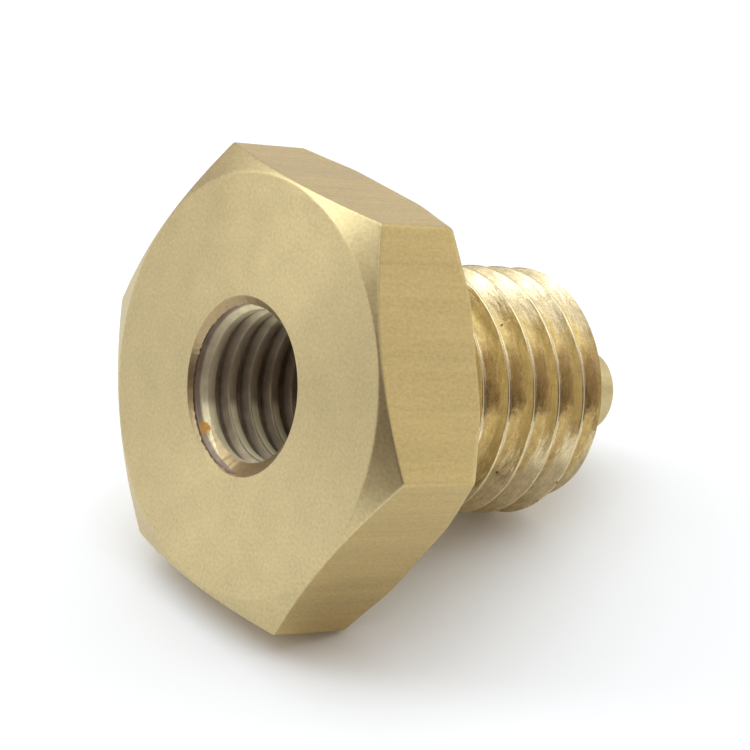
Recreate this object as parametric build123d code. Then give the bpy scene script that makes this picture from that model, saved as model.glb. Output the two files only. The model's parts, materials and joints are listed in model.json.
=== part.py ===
from build123d import *
import math
import os

# Brass hexagon bushing: one piece turned from hexagon bar.
# A blind tapped hole opens in the bored face of the head. Behind the head are
# a threaded shank and a plain nose. All lengths are in millimetres and all
# angles are in degrees.

# ---- head, from hexagon bar ----
across_flats = 31.0
head_thickness = 8.75
face_circle_dia = 30.6  # where the face chamfer starts
face_chamfer_angle = 24.0  # measured from the face
seat_circle_dia = 31.6  # where the chamfer behind the head starts
seat_chamfer_angle = 27.0

# ---- shank, threaded 3/4-10 UNC ----
shank_thread_dia = 19.05
shank_pitch = 25.4 / 10
shank_length = 18.6
shank_end_chamfer = 0.6
shank_thread_start = 145.0  # direction in which the crest leaves the end face
shank_plain_turns = 0.5  # pitches left unthreaded under the head
shank_runout_turns = 1.0  # pitches in which the groove fades out

# ---- tapped hole, 1/2-13 UNC ----
hole_thread_dia = 12.7
hole_pitch = 25.4 / 13
tap_drill_dia = 11.0
mouth_dia = 13.0  # rim of the 45 degree countersink
full_thread_depth = 15.0
tap_lead_turns = 1.5  # pitches in which the tap's lead fades out
drill_depth = 20.5
drill_point_angle = 118.0
hole_thread_start = 244.0  # direction in which the groove leaves the face

# ---- nose ----
nose_dia = 6.35
nose_length = 7.3
nose_chamfer = 0.3

# ---- the 60 degree thread form ----
flank_slope = math.tan(math.radians(30))
groove_overrun = 0.05  # how far a cutter reaches past the crests, in pitches

# ---- derived sizes ----
flat_radius = across_flats / 2
corner_radius = flat_radius / math.cos(math.radians(30))
shank_radius = shank_thread_dia / 2
shank_depth = 0.6134 * shank_pitch
shank_crest_flat = shank_pitch / 12
shank_root_flat = shank_pitch - shank_crest_flat - 2 * shank_depth * flank_slope
shank_end = head_thickness + shank_length
nose_end = shank_end + nose_length
drill_radius = tap_drill_dia / 2
hole_thread_radius = hole_thread_dia / 2
hole_root_flat = hole_pitch / 8
drill_point_depth = drill_radius / math.tan(math.radians(drill_point_angle / 2))

os.makedirs("parts", exist_ok=True)


def chamfered_head():
    """Hexagon bar faced and chamfered on both sides in the lathe."""
    bar = extrude(RegularPolygon(flat_radius, 6, major_radius=False), head_thickness)
    reach = corner_radius + 1
    face_radius = face_circle_dia / 2
    seat_radius = seat_circle_dia / 2
    face_drop = (reach - face_radius) * math.tan(math.radians(face_chamfer_angle))
    seat_drop = (reach - seat_radius) * math.tan(math.radians(seat_chamfer_angle))
    outline = Polyline(
        (0, 0),
        (face_radius, 0),
        (reach, face_drop),
        (reach, head_thickness - seat_drop),
        (seat_radius, head_thickness),
        (0, head_thickness),
        close=True,
    )
    turned = revolve(make_face(Plane.XZ * outline), Axis.Z)
    return bar & turned


def shank_and_nose():
    """The turned blank behind the head, before its thread is cut."""
    outline = Polyline(
        (0, head_thickness / 2),
        (shank_radius, head_thickness / 2),
        (shank_radius, shank_end - shank_end_chamfer),
        (shank_radius - shank_end_chamfer, shank_end),
        (nose_dia / 2, shank_end),
        (nose_dia / 2, nose_end - nose_chamfer),
        (nose_dia / 2 - nose_chamfer, nose_end),
        (0, nose_end),
        close=True,
    )
    return revolve(make_face(Plane.XZ * outline), Axis.Z)


def drilled_hole():
    """Tap drill with its point, and the countersink at the mouth."""
    mouth_depth = mouth_dia / 2 - drill_radius
    outline = Polyline(
        (0, -1),
        (mouth_dia / 2 + 1, -1),
        (drill_radius, mouth_depth),
        (drill_radius, drill_depth),
        (0, drill_depth + drill_point_depth),
        close=True,
    )
    return revolve(make_face(Plane.XZ * outline), Axis.Z)


def groove_turn(crest_radius, root_radius, pitch, root_flat):
    """One full turn of a 60 degree groove, starting in the direction of X."""
    way = 1 if root_radius > crest_radius else -1
    mouth_radius = crest_radius - way * groove_overrun * pitch
    half_root = root_flat / 2
    half_mouth = half_root + abs(root_radius - mouth_radius) * flank_slope
    section = Polyline(
        (root_radius, -half_root),
        (root_radius, half_root),
        (mouth_radius, half_mouth),
        (mouth_radius, -half_mouth),
        close=True,
    )
    path = Helix(pitch=pitch, height=pitch, radius=crest_radius)
    return sweep(make_face(Plane.XZ * section), path=path, is_frenet=True)


def shank_thread_cutters():
    """Turns of the shank's groove, from past its end to the run-out."""
    turn = groove_turn(
        shank_radius, shank_radius - shank_depth, shank_pitch, shank_root_flat
    )
    fade_end = head_thickness + shank_plain_turns * shank_pitch
    fade_start = fade_end + shank_runout_turns * shank_pitch
    inside = shank_radius - shank_depth
    outside = shank_radius + shank_pitch
    slope = (fade_start - fade_end) / shank_depth
    stop = Polyline(
        (0, head_thickness - 2 * shank_pitch),
        (outside, head_thickness - 2 * shank_pitch),
        (outside, fade_end - (outside - shank_radius) * slope),
        (inside, fade_start),
        (0, fade_start),
        close=True,
    )
    collar = revolve(make_face(Plane.XZ * stop), Axis.Z)
    turns = math.ceil((shank_end - fade_end) / shank_pitch) + 2
    cutters = []
    for index in range(turns):
        height = shank_end + shank_pitch * (0.5 - index)
        cutter = Pos(0, 0, height) * Rot(0, 0, shank_thread_start) * turn
        if height - shank_pitch < fade_start:
            cutter = cutter - collar
        cutters.append(cutter)
    return cutters


def hole_thread_cutters():
    """Turns of the tapped groove, from before the mouth to the tap's lead."""
    turn = groove_turn(drill_radius, hole_thread_radius, hole_pitch, hole_root_flat)
    lead_end = full_thread_depth + tap_lead_turns * hole_pitch
    inside = drill_radius - hole_pitch
    slope = tap_lead_turns * hole_pitch / (hole_thread_radius - drill_radius)
    tap = Polyline(
        (0, -3 * hole_pitch),
        (hole_thread_radius + 1, -3 * hole_pitch),
        (hole_thread_radius + 1, full_thread_depth - slope),
        (inside, lead_end + (drill_radius - inside) * slope),
        (0, lead_end + (drill_radius - inside) * slope),
        close=True,
    )
    tap_body = revolve(make_face(Plane.XZ * tap), Axis.Z)
    turns = math.ceil(lead_end / hole_pitch) + 2
    cutters = []
    for index in range(turns):
        height = hole_pitch * (index - 1)
        cutter = Pos(0, 0, height) * Rot(0, 0, hole_thread_start) * turn
        if height + 2 * hole_pitch > full_thread_depth:
            cutter = cutter & tap_body
        cutters.append(cutter)
    return cutters


bushing = chamfered_head() + shank_and_nose() - drilled_hole()
for cutter in shank_thread_cutters() + hole_thread_cutters():
    bushing = bushing - cutter

# ---- the way it lies on a bench ----
# It tips over onto the rear edge of one flat and the last crest of the shank.
# The origin is on the bench, under the middle of the part's box.
turns_to_crest = ((shank_thread_start - 270) / 360) % 1
if turns_to_crest * shank_pitch < shank_end_chamfer + shank_crest_flat:
    turns_to_crest += 1
last_crest = shank_end - turns_to_crest * shank_pitch + shank_crest_flat / 2
tilt = math.atan((flat_radius - shank_radius) / (last_crest - head_thickness))
lying = Plane(
    origin=(0, 0, 0),
    x_dir=(-1, 0, 0),
    z_dir=(0, math.cos(tilt), -math.sin(tilt)),
)
bushing = lying.location * bushing
box = bushing.bounding_box()
bushing = Pos(-box.center().X, -box.center().Y, -box.min.Z) * bushing
bushing.label = "hex_bushing"
export_step(bushing, "parts/hex_bushing.step")
print("lying angle", round(math.degrees(tilt), 4))
print("face centre", -box.center().X, -box.center().Y, -box.min.Z)
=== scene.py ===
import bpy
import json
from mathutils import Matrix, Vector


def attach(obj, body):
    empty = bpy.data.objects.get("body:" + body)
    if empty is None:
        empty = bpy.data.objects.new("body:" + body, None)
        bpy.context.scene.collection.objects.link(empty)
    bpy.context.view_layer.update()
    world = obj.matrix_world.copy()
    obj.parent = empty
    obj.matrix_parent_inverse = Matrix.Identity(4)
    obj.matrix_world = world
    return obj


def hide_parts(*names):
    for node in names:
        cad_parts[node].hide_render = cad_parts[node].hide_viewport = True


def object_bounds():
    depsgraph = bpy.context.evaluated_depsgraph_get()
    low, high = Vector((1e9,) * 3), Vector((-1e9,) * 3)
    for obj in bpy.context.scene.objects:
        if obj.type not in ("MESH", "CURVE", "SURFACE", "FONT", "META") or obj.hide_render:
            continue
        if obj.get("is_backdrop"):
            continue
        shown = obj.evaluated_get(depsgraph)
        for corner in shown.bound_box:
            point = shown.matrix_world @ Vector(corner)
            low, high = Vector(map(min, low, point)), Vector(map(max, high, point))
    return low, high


bl_info = {
    "name": "Hexagon Bushing",
    "version": (1, 0, 0),
    "blender": (4, 5, 0),
    "location": "3D View > Sidebar > Bushing",
    "description": "A turned brass bushing with a hexagon head, a threaded shank and a tapped hole",
    "category": "Add Mesh",
}

import json
import math

import bmesh
import bpy
from bpy.props import FloatProperty, FloatVectorProperty, PointerProperty
from mathutils import Matrix, Vector, noise

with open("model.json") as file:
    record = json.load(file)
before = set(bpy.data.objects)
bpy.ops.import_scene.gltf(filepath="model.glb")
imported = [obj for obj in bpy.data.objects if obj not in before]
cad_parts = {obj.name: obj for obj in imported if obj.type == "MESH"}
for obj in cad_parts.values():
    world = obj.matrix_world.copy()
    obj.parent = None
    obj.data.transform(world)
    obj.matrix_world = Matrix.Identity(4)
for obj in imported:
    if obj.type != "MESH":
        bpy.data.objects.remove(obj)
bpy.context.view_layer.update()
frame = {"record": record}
mounts = {mount["name"]: mount for mount in frame["record"]["mounts"]}

MM = 0.001
SAME_PLACE = 0.0005 * MM
NODE = "hex_bushing"
PIECE = "brass_bushing"


def to_linear(hex_colour):
    """A colour written as sRGB hex, as the linear RGBA that shaders take."""
    channels = [int(hex_colour[i : i + 2], 16) / 255 for i in (1, 3, 5)]
    linear = [c / 12.92 if c <= 0.04045 else ((c + 0.055) / 1.055) ** 2.4 for c in channels]
    return linear + [1.0]


# ---------------------------------------------------------------- sizes and colours


def length(name, description, millimetres):
    return FloatProperty(
        name=name,
        description=description,
        default=millimetres * MM,
        min=0.0,
        precision=5,
        unit="LENGTH",
    )


def angle(name, description, degrees):
    return FloatProperty(
        name=name, description=description, default=math.radians(degrees), subtype="ANGLE"
    )


def colour(name, description, hex_colour):
    return FloatVectorProperty(
        name=name,
        description=description,
        default=to_linear(hex_colour),
        size=4,
        min=0.0,
        max=1.0,
        subtype="COLOR",
    )


class BushingHeadSizes(bpy.types.PropertyGroup):
    across_flats: length("Across flats", "Width of the hexagon bar", 31.0)
    thickness: length("Thickness", "Length of the head along the axis", 8.75)
    face_circle: length("Face circle", "Diameter where the face chamfer starts", 30.6)
    face_chamfer: angle("Face chamfer", "Slope of the chamfer round the face", 24.0)
    seat_circle: length("Seat circle", "Diameter where the chamfer behind it starts", 31.6)
    seat_chamfer: angle("Seat chamfer", "Slope of the chamfer behind the head", 27.0)
    corner_rounding: length("Corner rounding", "Radius of the bar's six long edges", 0.4)
    edge_rounding: length("Edge rounding", "Radius left on the turned edges by tumbling", 0.6)
    flat_edge_rounding: length("Flat edge rounding", "Radius from face chamfer to flat", 0.1)


class BushingShankSizes(bpy.types.PropertyGroup):
    diameter: length("Thread diameter", "Outside diameter of the shank's thread", 19.05)
    length: length("Length", "From the head to the shank's end", 18.6)
    pitch: length("Pitch", "From one crest to the next, ten to the inch", 2.54)
    depth: length("Thread depth", "From crest to root", 1.558)
    crest: length("Crest flat", "Width of the flat left on each crest", 0.14)
    edge_break: length("Edge break", "How far down each crest's edges are broken", 0.03)
    start: angle("Thread start", "Direction in which the crest leaves the end face", 145.0)
    plain: length("Plain length", "Unthreaded length under the head", 1.27)
    run_out: length("Run-out", "Length in which the groove fades out", 2.54)
    end_chamfer: length("End chamfer", "Chamfer at the shank's end", 0.6)
    nose_diameter: length("Nose diameter", "Diameter of the plain nose", 6.35)
    nose_length: length("Nose length", "From the shank's end to the tip", 7.3)
    nose_chamfer: length("Nose chamfer", "Chamfer at the tip", 0.3)


class BushingHoleSizes(bpy.types.PropertyGroup):
    diameter: length("Thread diameter", "Largest diameter of the tapped thread", 12.7)
    pitch: length("Pitch", "From one crest to the next, thirteen to the inch", 1.9538)
    drill: length("Tap drill", "Diameter of the drilled hole", 11.0)
    mouth: length("Mouth", "Diameter of the countersink's rim", 13.0)
    root: length("Root flat", "Width of the flat at the bottom of the groove", 0.2442)
    edge_break: length("Edge break", "How far down each crest's edges are broken", 0.06)
    start: angle("Thread start", "Direction in which the groove leaves the face", 244.0)
    full_thread: length("Full thread", "Depth to which the thread is full", 15.0)
    lead: length("Tap lead", "Length in which the thread fades out", 2.9308)
    depth: length("Drilled depth", "Depth of the full-width hole", 20.5)
    point: angle("Drill point", "Angle of the drill's point", 118.0)


class BushingColours(bpy.types.PropertyGroup):
    face: colour("Turned brass", "The faced and chamfered surfaces", "#C7B587")
    countersink: colour("Countersunk brass", "The cone at the hole's mouth", "#B09A74")
    flats: colour("Drawn brass", "The hexagon bar's own flats", "#C4AD77")
    thread: colour("Cut thread", "The flanks of the shank's thread", "#DDCBA2")
    # Browned brass: partly cutting oil and partly painted shade, darker than light alone leaves the
    # hole.
    hole: colour("Browned brass", "The hole's thread, under old cutting oil", "#8D7B69")
    # Clean brass: also the painted-light copy, used where the hole's top and bottom are painted
    # lighter.
    lands: colour("Clean brass", "The hole's wall and its first turn", "#EBDDB4")
    drop: colour("Dried oil", "One golden drop at the hole's mouth", "#C08A3A")
    floor: colour("Floor", "The paper under the part", "#FCFCFB")


# ---------------------------------------------------------------- node helper


def add_node(tree, kind, *inputs, **settings):
    """Adds a node with its settings and links.

    A setting names a property or, with _ for each space, a socket. Inputs without a name
    fill the first sockets in order. A socket takes a value, an output, or a node, which
    stands for its first output in use.
    """
    node = tree.nodes.new(kind)
    sockets = dict(enumerate(inputs))
    for key, value in settings.items():
        if hasattr(node, key):
            setattr(node, key, value)
        else:
            sockets[key.replace("_", " ")] = value
    for key, value in sockets.items():
        if isinstance(value, bpy.types.Node):
            value = next(output for output in value.outputs if output.enabled)
        if isinstance(value, bpy.types.NodeSocket):
            tree.links.new(value, node.inputs[key])
        else:
            node.inputs[key].default_value = value
    return node


# Makes a Map Range node rise smoothly from 0 to 1 between its two limits.
SMOOTH = {"interpolation_type": "SMOOTHSTEP"}


# ---------------------------------------------------------------- finishes


def new_material(name):
    """A material with nothing in its node tree, and that tree."""
    material = bpy.data.materials.new(name)
    material.use_nodes = True
    material.node_tree.nodes.clear()
    return material, material.node_tree


def shaded(tree, **settings):
    """Ends a material's tree in one shader with these settings."""
    shader = add_node(tree, "ShaderNodeBsdfPrincipled", **settings)
    add_node(tree, "ShaderNodeOutputMaterial", Surface=shader)


def lathe_place(tree):
    """Each point in millimetres in the lathe's frame: axis along Z, the face at zero."""
    carry = lathe_to_row()
    return add_node(
        tree,
        "ShaderNodeMapping",
        vector_type="TEXTURE",
        Vector=add_node(tree, "ShaderNodeTexCoord").outputs["Object"],
        Location=carry.to_translation(),
        Rotation=carry.to_euler(),
        Scale=(MM, MM, MM),
    )


def from_axis(tree, place):
    """How far each point is from the axis, in millimetres."""
    across = add_node(tree, "ShaderNodeVectorMath", place, (1, 1, 0), operation="MULTIPLY")
    return add_node(tree, "ShaderNodeVectorMath", across, operation="LENGTH").outputs["Value"]


def round_the_axis(tree):
    """The direction in which a turning tool's marks run at each point."""
    carry = lathe_to_row()
    place = add_node(tree, "ShaderNodeTexCoord").outputs["Object"]
    centre = carry.to_translation()
    arm = add_node(tree, "ShaderNodeVectorMath", place, centre, operation="SUBTRACT")
    axis = carry.to_3x3() @ Vector((0, 0, 1))
    along = add_node(tree, "ShaderNodeVectorMath", axis, arm, operation="CROSS_PRODUCT")
    return add_node(tree, "ShaderNodeVectorMath", along, operation="NORMALIZE")


def grained(tree, place, size, detail, scale=(1, 1, 1)):
    """Noise with a grain of `size` millimetres; a scale under 1 draws it out along that axis."""
    drawn = add_node(tree, "ShaderNodeVectorMath", place, scale, operation="MULTIPLY")
    return add_node(
        tree, "ShaderNodeTexNoise", Vector=drawn, Scale=1.0 / size, Detail=detail
    )


def blended(tree, *parts):
    """Noises centred on a half, each scaled by its own share and added up round a half."""
    total = 0.5
    for value, share in parts:
        rest = add_node(tree, "ShaderNodeMath", total, share / 2, operation="SUBTRACT")
        total = add_node(tree, "ShaderNodeMath", value, share, rest, operation="MULTIPLY_ADD")
    return total


def toned(tree, base, amount, darkest, lightest):
    """The base colour, from darkest to lightest times itself as the amount goes from 0 to 1."""
    dark, light = (
        [min(1.0, channel * tone) for channel in base[:3]] + [1.0]
        for tone in (darkest, lightest)
    )
    return add_node(tree, "ShaderNodeMix", data_type="RGBA", Factor=amount, A=dark, B=light)


# Free-machining brass turned with a fine feed and left bright. The feed leaves rings 0.05 mm
# apart, drawn here at 0.11 mm so that they show; they pull each highlight into a soft sweep
# round the axis. Handling leaves a cloudy, sandy grain.
def turned_brass(name, base, smoothest, roughest):
    material, tree = new_material(name)
    place = lathe_place(tree)
    height = add_node(tree, "ShaderNodeSeparateXYZ", place).outputs["Z"]
    outline = add_node(tree, "ShaderNodeMath", from_axis(tree, place), height, operation="ADD")
    rings_per_mm = 9.0
    rings = add_node(
        tree,
        "ShaderNodeTexNoise",
        noise_dimensions="1D",
        W=outline,
        Scale=rings_per_mm,
        Detail=3.0,
    )
    cloud = grained(tree, place, size=3.2, detail=3.0)
    grain = grained(tree, place, size=0.26, detail=4.0)
    shade_of = blended(tree, (cloud, 0.6), (grain, 1.0), (rings, 0.15))
    relief = add_node(tree, "ShaderNodeMath", rings, 0.6, grain, operation="MULTIPLY_ADD")
    shaded(
        tree,
        Base_Color=toned(tree, base, shade_of, darkest=0.75, lightest=1.25),
        Metallic=1.0,
        Roughness=add_node(
            tree, "ShaderNodeMapRange", cloud, To_Min=smoothest, To_Max=roughest
        ),
        Normal=add_node(
            tree, "ShaderNodeBump", Height=relief, Strength=0.25, Distance=0.004 * MM
        ),
        Anisotropic=0.5,
        Anisotropic_Rotation=0.25,
        Tangent=round_the_axis(tree),
    )
    return material


# The bar's own sides, as drawn: long faint die lines run the length of the head, and the
# skin is a little yellower and duller than a fresh cut.
def drawn_brass(base):
    material, tree = new_material("drawn_brass")
    place = lathe_place(tree)
    lines = grained(tree, place, size=0.35, detail=4.0, scale=(1, 1, 0.03))
    bands = grained(tree, place, size=2.4, detail=2.0, scale=(1, 1, 0.08))
    grain = grained(tree, place, size=0.2, detail=4.0, scale=(1, 1, 0.7))
    shade_of = blended(tree, (lines, 0.4), (bands, 0.8), (grain, 1.0))
    relief = add_node(tree, "ShaderNodeMath", lines, 0.6, grain, operation="MULTIPLY_ADD")
    shaded(
        tree,
        Base_Color=toned(tree, base, shade_of, darkest=0.75, lightest=1.25),
        Metallic=1.0,
        Roughness=add_node(tree, "ShaderNodeMapRange", bands, To_Min=0.33, To_Max=0.46),
        Normal=add_node(
            tree, "ShaderNodeBump", Height=relief, Strength=0.25, Distance=0.004 * MM
        ),
    )
    return material


# Thread flanks cut with a single point: smoother and shinier than the face, so lights show
# in them with an edge, broken up by torn streaks and by shallow chatter along the helix.
def cut_thread_brass(base):
    material, tree = new_material("cut_thread_brass")
    place = lathe_place(tree)
    streaks = grained(tree, place, size=0.26, detail=4.0, scale=(0.25, 0.25, 2.0))
    chatter = grained(tree, place, size=0.6, detail=4.0, scale=(0.7, 0.7, 1.0))
    grain = grained(tree, place, size=0.14, detail=2.0)
    shade_of = blended(tree, (streaks, 1.1), (grain, 0.9), (chatter, 0.6))
    torn = add_node(tree, "ShaderNodeBump", Height=streaks, Strength=0.7, Distance=0.022 * MM)
    shaded(
        tree,
        Base_Color=toned(tree, base, shade_of, darkest=0.65, lightest=1.3),
        Metallic=1.0,
        Roughness=add_node(tree, "ShaderNodeMapRange", streaks, To_Min=0.09, To_Max=0.26),
        Normal=add_node(
            tree,
            "ShaderNodeBump",
            Height=chatter,
            Strength=0.7,
            Distance=0.028 * MM,
            Normal=torn,
        ),
    )
    return material


# How brown the hole is painted, all in millimetres: partly its oil, partly painted shade and
# painted light. Painted light makes its top and bottom lighter, fully past the second of two
# heights above the axis. The brown is lighter down to the first of two depths, darker past the
# second, and
# darkest at the bottom: painted shade deeper in.
PAINTED_LIGHT_ABOVE = (2.6, 4.6)
PAINTED_LIGHT_BELOW = (-2.7, -3.6)
MOUTH_OIL_AND_SHADE = 0.62
DEEPER_SHADE_BY = 0.22
DEEPER_SHADE_FROM = (1.7, 2.7)
DEEPEST_SHADE_FROM = (5.0, 14.0)


def unwiped(tree, place, above, below):
    """How brown each point of the hole is painted, from 0 to 1: partly oil, partly painted shade.

    The painted light at the top and at the bottom fades out between the two depths given for each.
    """
    split = add_node(tree, "ShaderNodeSeparateXYZ", place).outputs
    height, depth = split["Y"], split["Z"]
    lit_top_and_bottom = 0.0
    # Painted light: the top and the bottom of the hole are made lighter, as where light falls in.
    for heights, (near, far) in ((PAINTED_LIGHT_ABOVE, above), (PAINTED_LIGHT_BELOW, below)):
        lit_height = add_node(tree, "ShaderNodeMapRange", height, *heights, **SMOOTH)
        lit_depth = add_node(tree, "ShaderNodeMapRange", depth, far, near, **SMOOTH)
        lit_share = add_node(tree, "ShaderNodeMath", lit_height, lit_depth, operation="MULTIPLY")
        lit_top_and_bottom = add_node(tree, "ShaderNodeMath", lit_top_and_bottom, lit_share, operation="MAXIMUM")
    # Painted shade: the brown grows darker deeper into the hole.
    inside = add_node(tree, "ShaderNodeMapRange", depth, *DEEPER_SHADE_FROM, **SMOOTH)
    oil_and_shade = add_node(
        tree, "ShaderNodeMath", inside, DEEPER_SHADE_BY, MOUTH_OIL_AND_SHADE, operation="MULTIPLY_ADD"
    )
    deep_shade = add_node(tree, "ShaderNodeMapRange", depth, *DEEPEST_SHADE_FROM, **SMOOTH)
    thickness = add_node(tree, "ShaderNodeMath", oil_and_shade, deep_shade, operation="MAXIMUM")
    left = add_node(tree, "ShaderNodeMath", 1.0, lit_top_and_bottom, operation="SUBTRACT")
    return add_node(tree, "ShaderNodeMath", left, thickness, operation="MULTIPLY")


# Flanks left by a tap: torn and rough. They are painted brown, partly for cutting oil left in the
# hole and partly as painted shade: darker deeper in, and always brown in the groove's root past
# its corner. The first turn is painted clean below its corner, and so is the top of the next few,
# as painted light. One drop has dried golden at the mouth.
def tapped_brass(base, clean, dried):
    material, tree = new_material("tapped_brass")
    place = lathe_place(tree)
    tears = grained(tree, place, size=0.3, detail=4.0, scale=(0.4, 0.4, 1.0))
    stain = grained(tree, place, size=1.4, detail=3.0)
    shade_of = blended(tree, (tears, 1.0), (stain, 0.8))
    # Painted light at the hole's top and bottom, painted shade deeper in.
    left = unwiped(tree, place, above=(5.0, 12.0), below=(1.9, 2.9))
    # Painted shade: past this radius, in the groove's root, the flanks are always painted brown.
    corner = (5.85, 6.1)
    painted_root_shade = add_node(
        tree, "ShaderNodeMapRange", from_axis(tree, place), *corner, **SMOOTH
    )
    # Mixes the pale copy, painted light, with the brown copy, partly oil and partly painted shade.
    tint = add_node(
        tree,
        "ShaderNodeMix",
        data_type="RGBA",
        Factor=add_node(tree, "ShaderNodeMath", left, painted_root_shade, operation="MAXIMUM"),
        A=toned(tree, clean, shade_of, darkest=0.75, lightest=1.25),
        B=toned(tree, base, shade_of, darkest=0.6, lightest=1.4),
    )
    drop_at, drop_reach = (3.9, -4.8, 0.75), (1.65, 1.25)
    away = add_node(tree, "ShaderNodeVectorMath", place, drop_at, operation="DISTANCE")
    ragged = add_node(
        tree, "ShaderNodeMath", tears, 2.0, away.outputs["Value"], operation="MULTIPLY_ADD"
    )
    shaded(
        tree,
        Base_Color=add_node(
            tree,
            "ShaderNodeMix",
            data_type="RGBA",
            Factor=add_node(tree, "ShaderNodeMapRange", ragged, *drop_reach, **SMOOTH),
            A=tint,
            B=toned(tree, dried, shade_of, darkest=0.6, lightest=1.2),
        ),
        Metallic=0.6,
        Roughness=0.46,
        Normal=add_node(
            tree, "ShaderNodeBump", Height=tears, Strength=0.5, Distance=0.02 * MM
        ),
    )
    return material


# The wall left by the tap drill, between the turns of the thread: scraped pale and matt. It is
# painted brown like the thread further in and along both sides, partly oil and partly painted
# shade; its top and bottom stay pale as painted light.
def drilled_brass(base, clean):
    material, tree = new_material("drilled_brass")
    place = lathe_place(tree)
    scrapes = grained(tree, place, size=0.3, detail=4.0, scale=(0.3, 0.3, 1.5))
    # Painted light and shade: the pale copy where the top and bottom are painted lit, the brown one
    # deeper in and along the sides.
    shaded(
        tree,
        Base_Color=add_node(
            tree,
            "ShaderNodeMix",
            data_type="RGBA",
            Factor=unwiped(tree, place, above=(5.0, 14.0), below=(5.0, 14.0)),
            A=toned(tree, clean, scrapes, darkest=0.8, lightest=1.2),
            B=toned(tree, base, scrapes, darkest=0.8, lightest=1.2),
        ),
        Metallic=0.1,
        Roughness=0.55,
        Normal=add_node(
            tree, "ShaderNodeBump", Height=scrapes, Strength=0.4, Distance=0.01 * MM
        ),
    )
    return material


# ---------------------------------------------------------------- the turned blank


def plain_mesh(work, name):
    """A new mesh made from the bmesh, which is freed."""
    data = bpy.data.meshes.new(name)
    work.to_mesh(data)
    work.free()
    return data


def hexagon_radius(turn, flat_radius, rounding):
    """Distance from the axis to the bar's side in one direction.

    The corners lie at every 60 degrees from X, and each is an arc round a centre on the
    line from the axis to the corner.
    """
    off = math.radians(abs((math.degrees(turn) + 30) % 60 - 30))
    half_side = math.radians(30)
    centre = (flat_radius - rounding) / math.cos(half_side)
    arc_end = math.atan(rounding * 0.5 / (centre + rounding * math.cos(half_side)))
    if off < arc_end:
        return centre * math.cos(off) + math.sqrt(rounding**2 - (centre * math.sin(off)) ** 2)
    return flat_radius / math.cos(half_side - off)


def column_turns(flat_radius, rounding):
    """Directions of the blank's columns, closest together round the bar's corners."""
    arc_end = math.degrees(math.atan(rounding * 0.5 / flat_radius))
    beside_corner = [arc_end * share for share in (0.25, 0.5, 0.75, 1.0, 1.8, 3.2)]
    along_flat = [2.0 * step for step in range(1, 15)]
    half = sorted({round(a, 4) for a in beside_corner + along_flat})
    side = [0.0] + half + [30.0] + [60.0 - a for a in reversed(half)]
    return [math.radians(60 * corner + a) for corner in range(6) for a in side]


def rounded(points, steps=3, support=0.15 * MM, longest=0.3, furthest=0.15):
    """An outline of (radius, height, rounding, finish) corners as (radius, height, finish) points.

    Each rounded corner becomes an arc with a support point on each side, so that the
    flat stretches beside it stay flat when shaded. The arc takes at most the longest share
    of the stretch beside it, and the support point stands at most the furthest share off.
    """
    made = []
    for i, (r, z, rounding, finish) in enumerate(points):
        here = Vector((r, z))
        if not rounding or i in (0, len(points) - 1):
            made.append((r, z, finish))
            continue
        finish_before = points[i - 1][3]
        back = Vector(points[i - 1][:2]) - here
        ahead = Vector(points[i + 1][:2]) - here
        back_way, ahead_way = back.normalized(), ahead.normalized()
        half_turn = (math.pi - back.angle(ahead)) / 2
        widest = min(longest * back.length, longest * ahead.length)
        reach = min(rounding * math.tan(half_turn), widest)
        radius = reach / math.tan(half_turn)
        start = here + back_way * reach
        end = here + ahead_way * reach
        centre = here + (back_way + ahead_way).normalized() * math.hypot(reach, radius)
        before = start + back_way * min(support, furthest * back.length)
        after = end + ahead_way * min(support, furthest * ahead.length)
        made.append((*before, finish_before))
        sweep = (start - centre).angle(end - centre)
        for k in range(steps + 1):
            along = k / steps
            of_start = math.sin((1 - along) * sweep) / math.sin(sweep)
            of_end = math.sin(along * sweep) / math.sin(sweep)
            spoke = (start - centre) * of_start + (end - centre) * of_end
            made.append((*(centre + spoke), finish if k == steps else finish_before))
        made.append((*after, finish))
    return made


# Which of the blank's materials covers what follows each point of its outline.
TURNED, DRAWN, DRILLED, COUNTERSUNK = range(4)


def column_outline(edge, head, shank, hole):
    """The blank's outline in one direction, from the drill point out and round to the nose."""
    drill = hole.drill / 2
    mouth = hole.mouth / 2
    face = head.face_circle / 2
    least_chamfer = 0.08 * MM
    seat = min(head.seat_circle / 2, edge - least_chamfer)
    seat_slope = math.tan(head.seat_chamfer)
    seat_drop = max((edge - head.seat_circle / 2) * seat_slope, least_chamfer)
    face_drop = (edge - face) * math.tan(head.face_chamfer)
    outer = shank.diameter / 2
    nose = shank.nose_diameter / 2
    end = head.thickness + shank.length
    tip = end + shank.nose_length
    soft = head.edge_rounding
    fine = 0.05 * MM
    return rounded(
        [
            (0.0, hole.depth + drill / math.tan(hole.point / 2), 0.0, DRILLED),
            (drill, hole.depth, 0.0, DRILLED),
            (drill, mouth - drill, 0.0, COUNTERSUNK),
            (mouth, 0.0, fine, TURNED),
            (face, 0.0, soft, TURNED),
            (edge, face_drop, head.flat_edge_rounding, DRAWN),
            (edge, head.thickness - seat_drop, soft, TURNED),
            (seat, head.thickness, soft, TURNED),
            (outer, head.thickness, 0.0, TURNED),
            (outer, end - shank.end_chamfer, fine, TURNED),
            (outer - shank.end_chamfer, end, fine, TURNED),
            (nose, end, 0.0, TURNED),
            (nose, tip - shank.nose_chamfer, fine, TURNED),
            (nose - shank.nose_chamfer, tip, fine, TURNED),
            (0.0, tip, 0.0, TURNED),
        ]
    )


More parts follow.
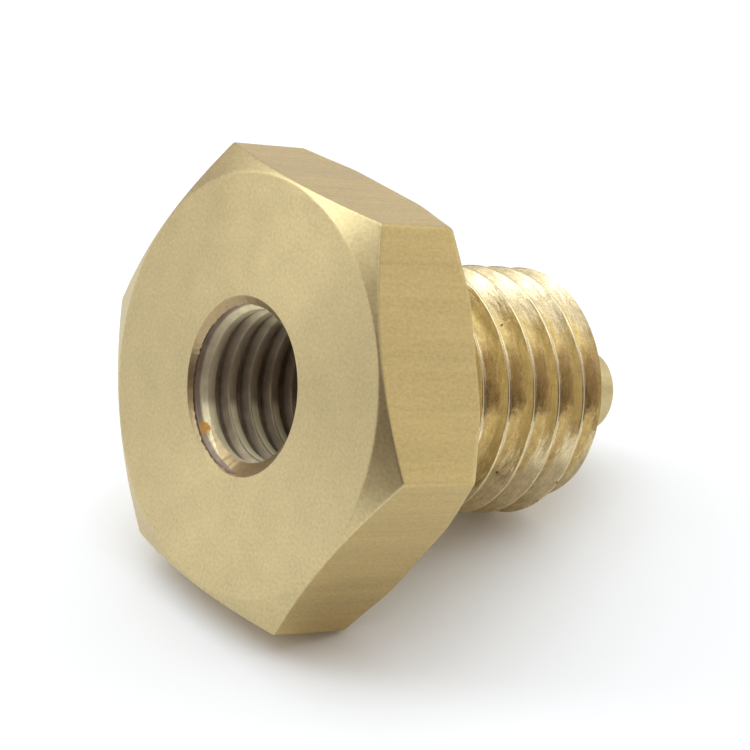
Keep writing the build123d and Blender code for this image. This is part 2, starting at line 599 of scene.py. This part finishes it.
def lathe_blank(head, shank, hole):
    """The hexagon bar after turning, drilling and countersinking, before its threads."""
    flat_radius = head.across_flats / 2
    work = bmesh.new()
    columns = []
    for turn in column_turns(flat_radius, head.corner_rounding):
        edge = hexagon_radius(turn, flat_radius, head.corner_rounding)
        way = Vector((math.cos(turn), math.sin(turn), 0.0))
        columns.append(
            [
                (work.verts.new(way * r + Vector((0, 0, z))), finish)
                for r, z, finish in column_outline(edge, head, shank, hole)
            ]
        )
    for here, there in zip(columns, columns[1:] + columns[:1]):
        for row in range(len(here) - 1):
            corners = (here[row][0], here[row + 1][0], there[row + 1][0], there[row][0])
            work.faces.new(corners).material_index = here[row][1]
    bmesh.ops.remove_doubles(work, verts=work.verts, dist=SAME_PLACE)
    bmesh.ops.recalc_face_normals(work, faces=work.faces)
    return plain_mesh(work, "lathe_blank")


# ---------------------------------------------------------------- the threads


# Corners of half a groove's section, from the root outwards: how far each lies past the
# crest, as a share of the groove's depth, a share of the edge break and then millimetres,
# and its share of the half width that a 60 degree groove has there.
GROOVE_SECTION = (
    (1.0, 0.0, 0.0, 0.6),
    (0.96, 0.0, 0.0, 0.93),
    (0.88, 0.0, 0.0, 1.0),
    (0.0, 1.0, 0.06, 1.0),
    (0.0, 1.0, 0.0, 1.0),
)
OVERRUN = 0.02 * MM  # how far the section reaches out past the crest


def thread_groove_tree():
    """Geometry Nodes that sweep the section of a 60 degree groove along a right-handed helix.

    The crest's edges are broken by a flatter strip, and the root's corners are rounded.
    """
    tree = bpy.data.node_groups.new("thread_groove", "GeometryNodeTree")
    tree.interface.new_socket("Geometry", in_out="OUTPUT", socket_type="NodeSocketGeometry")
    for name in (
        "Crest Radius",
        "Depth",
        "Pitch",
        "Crest Flat",
        "Edge Break",
        "Side",
        "Turns",
        "Start Angle",
        "Start Height",
    ):
        tree.interface.new_socket(name, in_out="INPUT", socket_type="NodeSocketFloat")
    tree.interface.new_socket("Steps", in_out="INPUT", socket_type="NodeSocketInt")
    tree.interface.new_socket("Material", in_out="INPUT", socket_type="NodeSocketMaterial")
    given = add_node(tree, "NodeGroupInput").outputs

    width = add_node(
        tree, "ShaderNodeMath", given["Pitch"], given["Crest Flat"], operation="SUBTRACT"
    )
    crest_half = add_node(tree, "ShaderNodeMath", width, 0.5, operation="MULTIPLY")
    points = []
    for of_depth, of_break, further, of_width in GROOVE_SECTION:
        past_break = add_node(
            tree,
            "ShaderNodeMath",
            given["Edge Break"],
            of_break,
            further * MM,
            operation="MULTIPLY_ADD",
        )
        depth = add_node(
            tree,
            "ShaderNodeMath",
            given["Depth"],
            of_depth,
            past_break,
            operation="MULTIPLY_ADD",
        )
        lost = add_node(
            tree, "ShaderNodeMath", depth, math.tan(math.radians(30)), operation="MULTIPLY"
        )
        left = add_node(tree, "ShaderNodeMath", crest_half, lost, operation="SUBTRACT")
        half = add_node(tree, "ShaderNodeMath", left, of_width, operation="MULTIPLY")
        points.append((depth, half))
    edge_depth, edge_half = points[-1]
    climb = add_node(tree, "ShaderNodeMath", edge_depth, OVERRUN, operation="ADD")
    gained = add_node(
        tree, "ShaderNodeMath", climb, math.tan(math.radians(60)), operation="MULTIPLY"
    )
    mouth_half = add_node(tree, "ShaderNodeMath", edge_half, gained, operation="ADD")
    points.append((-OVERRUN, mouth_half))
    corners = [(*point, 1.0) for point in points] + [(*point, -1.0) for point in points[::-1]]
    ring = add_node(
        tree, "GeometryNodeCurvePrimitiveCircle", mode="RADIUS", Resolution=len(corners)
    )
    pick = add_node(
        tree,
        "GeometryNodeIndexSwitch",
        data_type="VECTOR",
        Index=add_node(tree, "GeometryNodeInputIndex"),
    )
    while len(pick.index_switch_items) < len(corners):
        pick.index_switch_items.new()
    for i, (depth, half, sign) in enumerate(corners):
        across = add_node(
            tree, "ShaderNodeMath", depth, given["Side"], operation="MULTIPLY"
        )
        along = add_node(tree, "ShaderNodeMath", half, sign, operation="MULTIPLY")
        corner = add_node(tree, "ShaderNodeCombineXYZ", across, along)
        tree.links.new(corner.outputs[0], pick.inputs[str(i)])
    helix = add_node(
        tree,
        "GeometryNodeCurveSpiral",
        Resolution=given["Steps"],
        Rotations=given["Turns"],
        Start_Radius=given["Crest Radius"],
        End_Radius=given["Crest Radius"],
        Height=add_node(
            tree, "ShaderNodeMath", given["Turns"], given["Pitch"], operation="MULTIPLY"
        ),
        Reverse=True,
    )
    swept = add_node(
        tree,
        "GeometryNodeCurveToMesh",
        Curve=add_node(tree, "GeometryNodeSetCurveNormal", mode="Z_UP", Curve=helix),
        Profile_Curve=add_node(
            tree, "GeometryNodeSetPosition", Geometry=ring, Position=pick
        ),
        Fill_Caps=True,
    )
    placed = add_node(
        tree,
        "GeometryNodeTransform",
        Geometry=swept,
        Translation=add_node(tree, "ShaderNodeCombineXYZ", Z=given["Start Height"]),
        Rotation=add_node(tree, "ShaderNodeCombineXYZ", Z=given["Start Angle"]),
    )
    realized = add_node(tree, "GeometryNodeRealizeInstances", Geometry=placed)
    finished = add_node(
        tree, "GeometryNodeSetMaterial", Geometry=realized, Material=given["Material"]
    )
    add_node(tree, "NodeGroupOutput", Geometry=finished)
    return tree


def face_outwards(mesh):
    """Turns every face of a closed mesh outwards."""
    work = bmesh.new()
    work.from_mesh(mesh)
    bmesh.ops.recalc_face_normals(work, faces=work.faces)
    work.to_mesh(mesh)
    work.free()


def mesh_from_nodes(tree, name, values):
    """The plain mesh that a Geometry Nodes tree makes from these named inputs."""
    carrier = bpy.data.objects.new(name, bpy.data.meshes.new(name))
    bpy.context.scene.collection.objects.link(carrier)
    modifier = carrier.modifiers.new(name, "NODES")
    modifier.node_group = tree
    for item in tree.interface.items_tree:
        if item.in_out == "INPUT":
            modifier[item.identifier] = values[item.name]
    graph = bpy.context.evaluated_depsgraph_get()
    made = bpy.data.meshes.new_from_object(carrier.evaluated_get(graph))
    made.name = name
    bpy.data.objects.remove(carrier)
    if not made.polygons:
        raise RuntimeError(f"the node tree made nothing for {name}")
    face_outwards(made)
    return made


def turned_body(points, name, columns=180):
    """A closed solid of revolution from (radius, height) points that start and end on the axis."""
    work = bmesh.new()
    rings = []
    for r, z in points:
        if r == 0:
            rings.append([work.verts.new((0, 0, z))] * columns)
            continue
        turns = [math.tau * k / columns for k in range(columns)]
        rings.append([work.verts.new((r * math.cos(a), r * math.sin(a), z)) for a in turns])
    for low, high in zip(rings, rings[1:]):
        for k in range(columns):
            loop = dict.fromkeys((low[k], low[k - columns + 1], high[k - columns + 1], high[k]))
            work.faces.new(list(loop))
    bmesh.ops.recalc_face_normals(work, faces=work.faces)
    return plain_mesh(work, name)


def combined(base, steps):
    """The base mesh after each (operation, other mesh) has been applied to it."""
    carrier = bpy.data.objects.new("machining", base)
    bpy.context.scene.collection.objects.link(carrier)
    others = []
    for operation, other in steps:
        tool = bpy.data.objects.new(other.name, other)
        bpy.context.scene.collection.objects.link(tool)
        others.append(tool)
        modifier = carrier.modifiers.new(other.name, "BOOLEAN")
        modifier.operation = operation
        modifier.solver = "MANIFOLD"
        modifier.object = tool
        modifier.material_mode = "TRANSFER"
    graph = bpy.context.evaluated_depsgraph_get()
    made = bpy.data.meshes.new_from_object(carrier.evaluated_get(graph))
    for leftover in [carrier] + others:
        bpy.data.objects.remove(leftover)
    if not made.polygons:
        raise RuntimeError("a cut left nothing of the part")
    return made


def shank_groove(tree, head, shank, material):
    """The shank's thread groove, with the stretch under the head where it fades out."""
    end = head.thickness + shank.length
    turns = math.ceil(shank.length / shank.pitch) + 2
    groove = mesh_from_nodes(
        tree,
        "shank_groove",
        {
            "Crest Radius": shank.diameter / 2,
            "Depth": shank.depth,
            "Pitch": shank.pitch,
            "Crest Flat": shank.crest,
            "Edge Break": shank.edge_break,
            "Side": -1.0,
            "Turns": float(turns),
            "Start Angle": shank.start,
            "Start Height": end + (1.5 - turns) * shank.pitch,
            "Steps": 180,
            "Material": material,
        },
    )
    outer = shank.diameter / 2
    fade_end = head.thickness + shank.plain
    fade_start = fade_end + shank.run_out
    slope = shank.run_out / shank.depth
    wide = outer + shank.pitch
    low = head.thickness - 5 * shank.pitch
    collar = turned_body(
        [
            (0.0, low),
            (wide, low),
            (wide, fade_end - (wide - outer) * slope),
            (outer - shank.depth, fade_start),
            (0.0, fade_start),
        ],
        "run_out_collar",
    )
    collar.materials.append(material)
    return combined(groove, [("DIFFERENCE", collar)])


def hole_groove(tree, hole, material):
    """The tapped groove, which fades out over the tap's lead."""
    depth = (hole.diameter - hole.drill) / 2
    lead_end = hole.full_thread + hole.lead
    turns = math.ceil(lead_end / hole.pitch) + 2
    groove = mesh_from_nodes(
        tree,
        "hole_groove",
        {
            "Crest Radius": hole.drill / 2,
            "Depth": depth,
            "Pitch": hole.pitch,
            "Crest Flat": hole.pitch - hole.root - 2 * depth * math.tan(math.radians(30)),
            "Edge Break": hole.edge_break,
            "Side": 1.0,
            "Turns": float(turns),
            "Start Angle": hole.start,
            "Start Height": -hole.pitch,
            "Steps": 144,
            "Material": material,
        },
    )
    clear = MM
    wide = hole.diameter / 2 + clear
    slope = hole.lead / depth
    inside = hole.drill / 2 - hole.pitch
    low = -3 * hole.pitch
    tip = lead_end + (hole.drill / 2 - inside) * slope
    tap = turned_body(
        [
            (0.0, low),
            (wide, low),
            (wide, hole.full_thread - clear * slope),
            (inside, tip),
            (0.0, tip),
        ],
        "tap_lead",
    )
    tap.materials.append(material)
    return combined(groove, [("INTERSECT", tap)])


# Where handling has marked the shank: direction in degrees, then distance from the face,
# distance from the axis and size in millimetres. The first four nick a crest.
SHANK_MARKS = (
    (91, 26.95, 9.5, 0.36),
    (222, 25.4, 9.5, 0.36),
    (206, 25.25, 9.5, 0.3),
    (198, 26.75, 9.42, 0.3),
    (124, 18.8, 8.42, 0.22),
    (205, 19.5, 8.52, 0.22),
)


def shank_dents(material):
    """Small lumps that cut the nicks and pits out of the shank."""
    unevenness, lumps_per_mm = 0.3, 9.0
    lumps = bmesh.new()
    for direction, height, radius, size in SHANK_MARKS:
        turn = Matrix.Rotation(math.radians(direction), 4, "Z")
        place = turn @ Matrix.Translation(Vector((radius, 0.0, height)) * MM)
        seed = Vector((direction, height, 0.0))
        lump = bmesh.ops.create_icosphere(lumps, subdivisions=2, radius=size / 2 * MM)
        for vert in lump["verts"]:
            ragged = 1.0 + unevenness * noise.noise(vert.co / MM * lumps_per_mm + seed)
            vert.co = place @ (vert.co * ragged)
    data = plain_mesh(lumps, "shank_dents")
    data.materials.append(material)
    return data


def roughen_mouth(mesh, tapped, reach, inner):
    """Leaves a ragged burr along the line where the countersink cuts the first groove.

    The line's points lie within the reach of the face and further than `inner` from the
    axis, between a tapped face and one of another finish.
    """
    burr, teeth_per_mm = 0.09 * MM, 3.1
    seeds = (11.0, 37.0, 71.0)
    work = bmesh.new()
    work.from_mesh(mesh)
    for vert in work.verts:
        kinds = {face.material_index for face in vert.link_faces}
        on_line = vert.co.z < reach and vert.co.xy.length > inner
        if on_line and tapped in kinds and len(kinds) > 1:
            for axis, seed in enumerate(seeds):
                where = vert.co / MM * teeth_per_mm + Vector((seed, 0.0, 0.0))
                vert.co[axis] += burr * noise.noise(where)
    work.to_mesh(mesh)
    work.free()


def lathe_to_row():
    """The matrix from the lathe's frame, face at zero and axis into the part, to the row's."""
    mouth = mounts["female_thread"]
    into = -Vector(mouth["axis"]).normalized()
    across = Vector((-1.0, 0.0, 0.0))
    up = into.cross(across)
    sizes = bpy.context.scene.bushing_hole
    face = Vector(mouth["pos_m"]) - into * (sizes.mouth - sizes.drill) / 2
    return Matrix.Translation(face) @ Matrix((across, up, into)).transposed().to_4x4()


def shade(mesh, limit):
    """Smooth shading, broken where two faces meet at more than the limit."""
    work = bmesh.new()
    work.from_mesh(mesh)
    for face in work.faces:
        face.smooth = True
    for edge in work.edges:
        edge.smooth = edge.calc_face_angle(0.0) < limit
    work.to_mesh(mesh)
    work.free()


class BUSHING_OT_body(bpy.types.Operator):
    """Turns the blank, cuts both threads and finishes the bushing"""

    bl_idname = "bushing.body"
    bl_label = "Build Bushing"

    def execute(self, context):
        scene = context.scene
        head, shank, hole = scene.bushing_head, scene.bushing_shank, scene.bushing_hole
        colours = scene.bushing_colours
        blank = lathe_blank(head, shank, hole)
        for finish in (
            turned_brass("turned_brass", colours.face, smoothest=0.28, roughest=0.42),
            drawn_brass(colours.flats),
            drilled_brass(colours.hole, colours.lands),
            turned_brass(
                "countersunk_brass", colours.countersink, smoothest=0.3, roughest=0.42
            ),
        ):
            blank.materials.append(finish)
        tree = thread_groove_tree()
        tapped = tapped_brass(colours.hole, colours.lands, colours.drop)
        cuts = [
            ("DIFFERENCE", shank_groove(tree, head, shank, cut_thread_brass(colours.thread))),
            ("DIFFERENCE", hole_groove(tree, hole, tapped)),
            ("DIFFERENCE", shank_dents(tapped)),
        ]
        body = combined(blank, cuts)
        body.name = PIECE
        tapped_slot = body.materials.find(tapped.name)
        past_wall = 0.52 * hole.drill
        roughen_mouth(body, tapped_slot, reach=hole.pitch, inner=past_wall)
        body.transform(lathe_to_row())
        shade(body, limit=math.radians(35))
        piece = bpy.data.objects.new(PIECE, body)
        scene.collection.objects.link(piece)
        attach(piece, "root")
        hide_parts(NODE)
        return {"FINISHED"}


# ---------------------------------------------------------------- stage

DIM_WALL = "#FFE4D9"
PALE_WALL = "#FFFFFF"
DAYLIGHT = "#F0F8FF"

# The room as seen from the part: azimuth from and to, elevation from and to, how soft the
# edges are, all in degrees, and brightness. Each row covers the ones before it.
ROOM = (
    (-200, 200, -95, 95, 1, 0.9),  # pale walls
    (-200, 200, 56, 110, 9, 1.9),  # lit ceiling
    (-200, -130, 30, 56, 8, 1.3),  # the wall behind, washed by the ceiling
    (140, 200, 30, 56, 8, 1.3),
    (141, 200, -20, 30, 5, 1.25),
    (-76, -33, -20, 12, 6, 0.9),  # beside and below the window
    (-76, -33, 12, 50, 6, 1.3),
    (-112, -78, -20, 32, 8, 0.42),  # a dark cupboard on the left
    (-31, 135, -20, 46, 6, 0.52),  # the unlit end of the room
    (-31, 104, -20, 31, 6, 0.2),
)
GLARE_FROM = (1.0, 1.8)  # brightness at which a wall turns from pale to daylight

FLOOR_RADIUS = 0.3

# The camera's bearing from the point it aims at and its roll in degrees, how far it is from
# that point in metres, and where the point is in millimetres from the middle of the part.
CAMERA_BEARING = (52.93284, 29.43138)
CAMERA_ROLL = -0.75982
CAMERA_DISTANCE = 0.200716
CAMERA_AIM = (3.722, -0.206, -5.483)
FOCAL_LENGTH = 129.38
SENSOR_WIDTH = 36.0
CAMERA_SHIFT = (-0.074, 0.074)
NEAREST_SEEN = 0.01


def bearing(azimuth, elevation):
    """The unit vector in a direction, in degrees; azimuth 0 is -Y and 90 is +X."""
    turn, lift = math.radians(azimuth), math.radians(elevation)
    level = math.cos(lift)
    return Vector((math.sin(turn) * level, -math.cos(turn) * level, math.sin(lift)))


def studio_walls():
    """The room round the part, warm where it is dim and cool where it is lit.

    Its background shows as plain white.
    """
    world = bpy.data.worlds.new("studio")
    world.use_nodes = True
    tree = world.node_tree
    tree.nodes.clear()
    way = add_node(tree, "ShaderNodeTexCoord").outputs["Generated"]
    split = add_node(tree, "ShaderNodeSeparateXYZ", way).outputs
    ahead = add_node(tree, "ShaderNodeMath", split["Y"], -1.0, operation="MULTIPLY")
    azimuth = add_node(tree, "ShaderNodeMath", split["X"], ahead, operation="ARCTAN2")
    elevation = add_node(tree, "ShaderNodeMath", split["Z"], operation="ARCSINE")
    brightness = 0.0
    for left, right, bottom, top, soft, level in ROOM:
        cover = 1.0
        for value, low, high in ((azimuth, left, right), (elevation, bottom, top)):
            for edge, inwards in ((low, soft), (high, -soft)):
                outside, inside = math.radians(edge - inwards), math.radians(edge + inwards)
                fade = add_node(tree, "ShaderNodeMapRange", value, outside, inside, **SMOOTH)
                cover = add_node(tree, "ShaderNodeMath", cover, fade, operation="MULTIPLY")
        step = add_node(tree, "ShaderNodeMath", level, brightness, operation="SUBTRACT")
        brightness = add_node(
            tree, "ShaderNodeMath", cover, step, brightness, operation="MULTIPLY_ADD"
        )
    seen = add_node(tree, "ShaderNodeLightPath").outputs["Is Camera Ray"]
    shown = add_node(tree, "ShaderNodeMath", brightness, seen, operation="MAXIMUM")
    wall = add_node(
        tree,
        "ShaderNodeMix",
        data_type="RGBA",
        Factor=shown,
        A=to_linear(DIM_WALL),
        B=to_linear(PALE_WALL),
    )
    lit = add_node(
        tree,
        "ShaderNodeMix",
        data_type="RGBA",
        Factor=add_node(tree, "ShaderNodeMapRange", shown, *GLARE_FROM, **SMOOTH),
        A=wall,
        B=to_linear(DAYLIGHT),
    )
    light = add_node(tree, "ShaderNodeBackground", Color=lit, Strength=shown)
    add_node(tree, "ShaderNodeOutputWorld", Surface=light)
    return world


def softbox(name, target, azimuth, elevation, distance, size, brightness):
    """An area light on one bearing from the target, as bright as a mirror would show it."""
    lamp = bpy.data.lights.new(name, "AREA")
    lamp.shape = "RECTANGLE"
    lamp.size, lamp.size_y = size
    lamp.energy = brightness * math.pi * size[0] * size[1]
    lamp.color = to_linear(DAYLIGHT)[:3]
    holder = bpy.data.objects.new(name, lamp)
    away = bearing(azimuth, elevation)
    holder.location = target + away * distance
    holder.rotation_mode = "QUATERNION"
    holder.rotation_quaternion = (-away).to_track_quat("-Z", "Y")
    bpy.context.scene.collection.objects.link(holder)


def paper_floor(height, tint):
    """A round sheet of pale paper under the part."""
    sheet = bmesh.new()
    bmesh.ops.create_circle(sheet, cap_ends=True, segments=96, radius=FLOOR_RADIUS)
    floor = bpy.data.objects.new("floor", plain_mesh(sheet, "floor"))
    floor.location = (0, 0, height)
    bpy.context.scene.collection.objects.link(floor)
    paper, tree = new_material("matt_paper")
    shaded(tree, Base_Color=list(tint), Roughness=0.9)
    floor.data.materials.append(paper)
    return floor


def studio_camera(middle):
    """The camera, aimed at a point near the middle of the part."""
    lens = bpy.data.cameras.new("camera")
    lens.sensor_width = SENSOR_WIDTH
    lens.lens = FOCAL_LENGTH
    lens.shift_x, lens.shift_y = CAMERA_SHIFT
    lens.clip_start = NEAREST_SEEN
    camera = bpy.data.objects.new("camera", lens)
    back = bearing(*CAMERA_BEARING)
    camera.location = middle + Vector(CAMERA_AIM) * MM + back * CAMERA_DISTANCE
    roll = Matrix.Rotation(math.radians(CAMERA_ROLL), 4, "Z").to_quaternion()
    camera.rotation_mode = "QUATERNION"
    camera.rotation_quaternion = (-back).to_track_quat("-Z", "Y") @ roll
    bpy.context.scene.collection.objects.link(camera)
    return camera


class BUSHING_OT_stage(bpy.types.Operator):
    """Lays the pale floor and sets the lights and the camera"""

    bl_idname = "bushing.stage"
    bl_label = "Build Stage"

    def execute(self, context):
        scene = context.scene
        low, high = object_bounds()
        floor = paper_floor(low.z, scene.bushing_colours.floor)
        floor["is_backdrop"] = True
        scene.world = studio_walls()
        scene.camera = studio_camera((low + high) / 2)
        softbox(
            "softbox_window",
            Vector((0.0, 0.0, (low.z + high.z) / 2)),
            azimuth=-47.0,
            elevation=32.0,
            distance=0.5,
            size=(0.17, 0.33),
            brightness=2.1,
        )
        scene.view_settings.view_transform = "Standard"
        return {"FINISHED"}


class BUSHING_PT_panel(bpy.types.Panel):
    """Lists the sizes, the colours and the steps that build the part"""

    bl_idname = "BUSHING_PT_panel"
    bl_label = "Hexagon Bushing"
    bl_space_type = "VIEW_3D"
    bl_region_type = "UI"
    bl_category = "Bushing"

    def draw(self, context):
        for group in GROUPS:
            box = self.layout.box()
            settings = getattr(context.scene, group)
            for name in settings.bl_rna.properties.keys():
                if name not in ("rna_type", "name"):
                    box.prop(settings, name)
        self.layout.operator("bushing.body")
        self.layout.operator("bushing.stage")


GROUPS = {
    "bushing_head": BushingHeadSizes,
    "bushing_shank": BushingShankSizes,
    "bushing_hole": BushingHoleSizes,
    "bushing_colours": BushingColours,
}
CLASSES = (*GROUPS.values(), BUSHING_OT_body, BUSHING_OT_stage, BUSHING_PT_panel)


def register():
    for cls in CLASSES:
        bpy.utils.register_class(cls)
    for name, cls in GROUPS.items():
        setattr(bpy.types.Scene, name, PointerProperty(type=cls))


def unregister():
    for name in GROUPS:
        delattr(bpy.types.Scene, name)
    for cls in reversed(CLASSES):
        bpy.utils.unregister_class(cls)


def main():
    register()
    bpy.ops.bushing.body()
    bpy.ops.bushing.stage()


if __name__ == "__main__":
    main()
